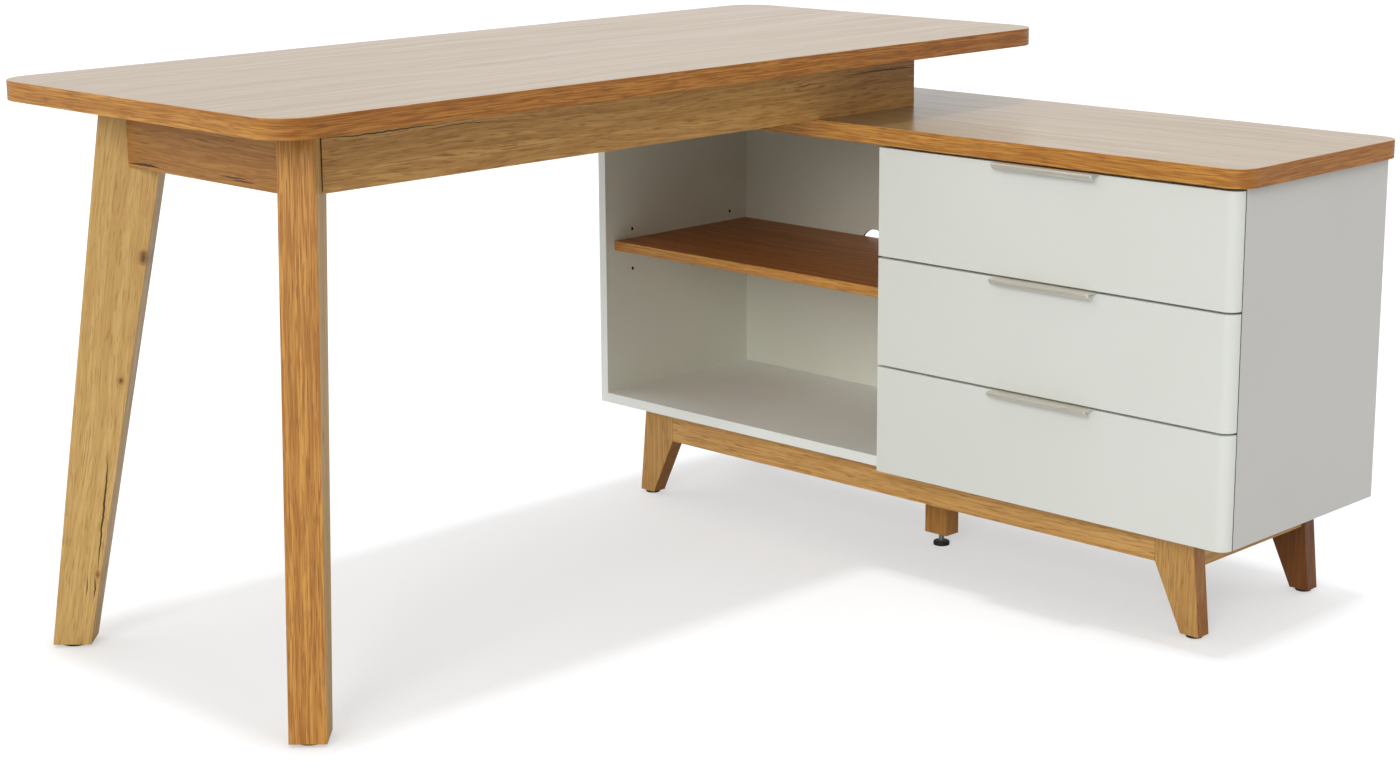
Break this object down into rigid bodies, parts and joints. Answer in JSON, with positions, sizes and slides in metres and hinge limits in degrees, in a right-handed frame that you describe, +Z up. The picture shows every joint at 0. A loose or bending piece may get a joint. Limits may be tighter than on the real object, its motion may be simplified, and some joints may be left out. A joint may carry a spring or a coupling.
{
  "type": "corner desk",
  "caption": "L-shaped desk: a main top on splayed corner legs and a rail frame that rests on a low return cabinet with an open bay and drawers.",
  "frame": {"origin": "bottom centre of the whole desk's bounding box, on the floor", "axes": "+X along the main desktop towards the return cabinet, +Y away from the sitter towards the wall, +Z up"},
  "size_m": [1.4, 1.2, 0.75],
  "materials": {
    "oak_decor_board": "satin oak-decor foil on particle board",
    "oak_edge_band": "satin straight-grain edge band",
    "oak_decor_rail": "satin rustic oak decor",
    "carcass_melamine": "satin light grey melamine",
    "front_lacquer": "satin greyish white lacquer",
    "drawer_box_melamine": "matt light grey melamine",
    "beech_block": "planed, unfinished",
    "zinc_steel": "zinc plated",
    "satin_nickel": "satin nickel",
    "black_plastic": "moulded, matt"
  },
  "bodies": {
    "desk": {"apron_back": "oak_decor_rail", "apron_front": "oak_decor_rail", "back_panel": "carcass_melamine", "bottom_panel": "carcass_melamine", "cabinet_leg_back_left": "oak_decor_rail", "cabinet_leg_back_right": "oak_decor_rail", "cabinet_leg_front_left": "oak_decor_rail", "cabinet_leg_front_right": "oak_decor_rail", "cabinet_leg_glides": "black_plastic", "cabinet_top_board": "oak_decor_board", "cabinet_top_edge_band": "oak_edge_band", "cam_bolts": "zinc_steel", "cam_discs": "zinc_steel", "centre_support_post": "oak_decor_rail", "corner_blocks": "beech_block", "desk_leg_back": "oak_decor_rail", "desk_leg_front": "oak_decor_rail", "desk_leg_glides": "black_plastic", "desktop_board": "oak_decor_board", "desktop_brackets": "zinc_steel", "desktop_edge_band": "oak_edge_band", "end_rail_left": "oak_decor_rail", "end_rail_right": "oak_decor_rail", "frame_bolts": "zinc_steel", "leg_bolts": "zinc_steel", "partition": "carcass_melamine", "plinth_cross_rail": "oak_decor_rail", "plinth_rail_back": "oak_decor_rail", "plinth_rail_front": "oak_decor_rail", "plinth_rail_left": "oak_decor_rail", "plinth_rail_right": "oak_decor_rail", "runner_cabinet_channels": "zinc_steel", "shelf_board": "oak_decor_board", "shelf_pins": "zinc_steel", "side_panel_left": "carcass_melamine", "side_panel_right": "carcass_melamine", "wood_screws": "zinc_steel"},
    "levelling_foot": {"levelling_foot_disc": "black_plastic", "levelling_foot_stem": "zinc_steel"},
    "drawer_bottom": {"drawer_bottom_back": "drawer_box_melamine", "drawer_bottom_base": "drawer_box_melamine", "drawer_bottom_front": "front_lacquer", "drawer_bottom_pull": "satin_nickel", "drawer_bottom_screws": "zinc_steel", "drawer_bottom_sides": "drawer_box_melamine", "drawer_bottom_slides": "zinc_steel"},
    "drawer_middle": {"drawer_middle_back": "drawer_box_melamine", "drawer_middle_base": "drawer_box_melamine", "drawer_middle_front": "front_lacquer", "drawer_middle_pull": "satin_nickel", "drawer_middle_screws": "zinc_steel", "drawer_middle_sides": "drawer_box_melamine", "drawer_middle_slides": "zinc_steel"},
    "drawer_top": {"drawer_top_back": "drawer_box_melamine", "drawer_top_base": "drawer_box_melamine", "drawer_top_front": "front_lacquer", "drawer_top_pull": "satin_nickel", "drawer_top_screws": "zinc_steel", "drawer_top_sides": "drawer_box_melamine", "drawer_top_slides": "zinc_steel"}
  },
  "joints": [
    {"name": "drawer_bottom_slide", "type": "slide", "parent": "desk", "child": "drawer_bottom", "axis": [-1, 0, 0], "range_m": [0, 0.22]},
    {"name": "drawer_middle_slide", "type": "slide", "parent": "desk", "child": "drawer_middle", "axis": [-1, 0, 0], "range_m": [0, 0.22]},
    {"name": "drawer_top_slide", "type": "slide", "parent": "desk", "child": "drawer_top", "axis": [-1, 0, 0], "range_m": [0, 0.22]},
    {"name": "levelling_foot_screw", "type": "slide", "parent": "desk", "child": "levelling_foot", "axis": [0, 0, -1], "range_m": [-0.008, 0.012]}
  ]
}
